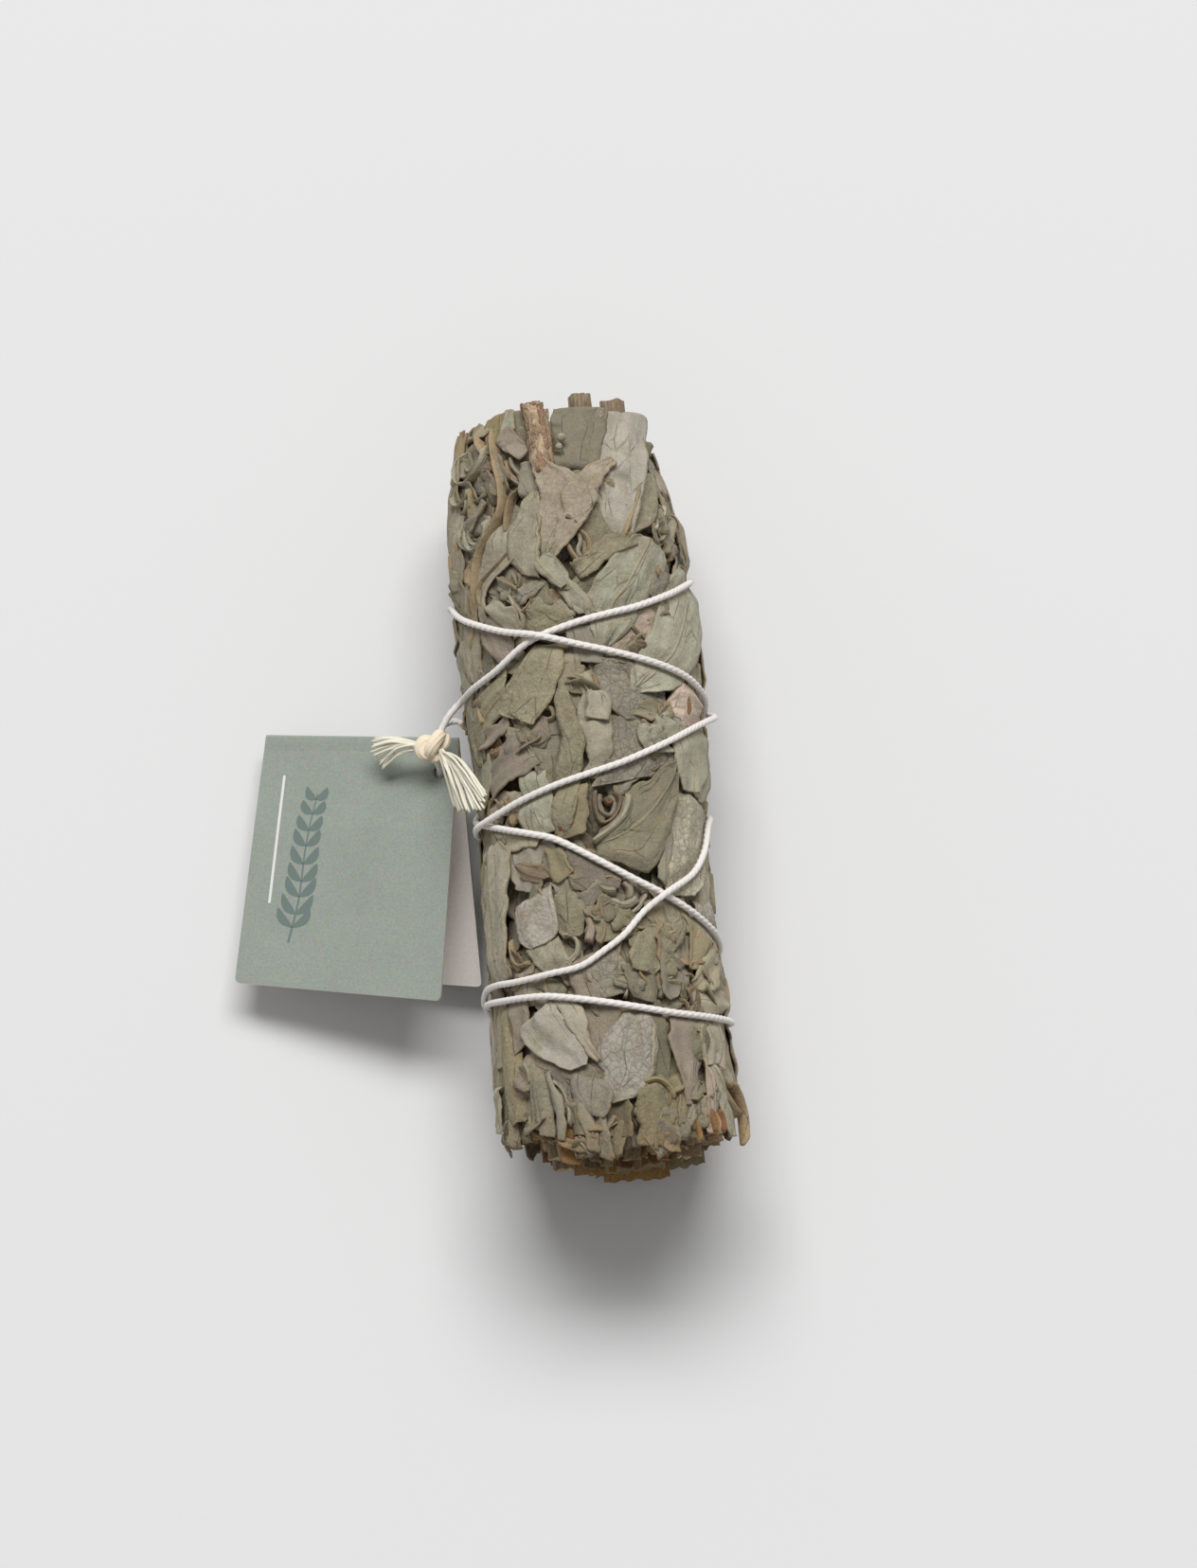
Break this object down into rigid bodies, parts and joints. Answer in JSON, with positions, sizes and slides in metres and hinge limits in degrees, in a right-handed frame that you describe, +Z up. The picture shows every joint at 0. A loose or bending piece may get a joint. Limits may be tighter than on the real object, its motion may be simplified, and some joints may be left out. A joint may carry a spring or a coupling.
{
  "type": "sage smudge stick",
  "caption": "Short round bundle of dried sage leaves and stems, wound crosswise with cotton string that ends in a knot with frayed tails and ties on a folded card tag.",
  "frame": {"origin": "middle of the small flat spot under the bundle, on which it lies", "axes": "+Z up, +Y along the bundle towards its end with the barked stem, -X towards the tag"},
  "size_m": [0.0682, 0.1025, 0.0338],
  "materials": {
    "sage": "dry matt leaf with a felt of short hairs",
    "bark": "dry bark",
    "cotton": "twisted cotton",
    "card": "printed uncoated card"
  },
  "bodies": {
    "root": {"sage_sprig_crown": "sage", "sage_sprig_right": "sage", "sage_sprig_right_low": "sage", "sage_sprig_under": "sage", "sage_sprig_left_low": "sage", "sage_sprig_left": "sage", "sage_sprig_heart": "sage", "stem_crown": "bark", "stem_right": "bark", "stem_right_low": "bark", "stem_under": "bark", "stem_left_low": "bark", "stem_left": "bark", "stem_heart": "bark", "stem_barked": "bark", "stem_shoot": "bark", "cotton_string": "cotton", "tag_card": "card"}
  },
  "joints": []
}
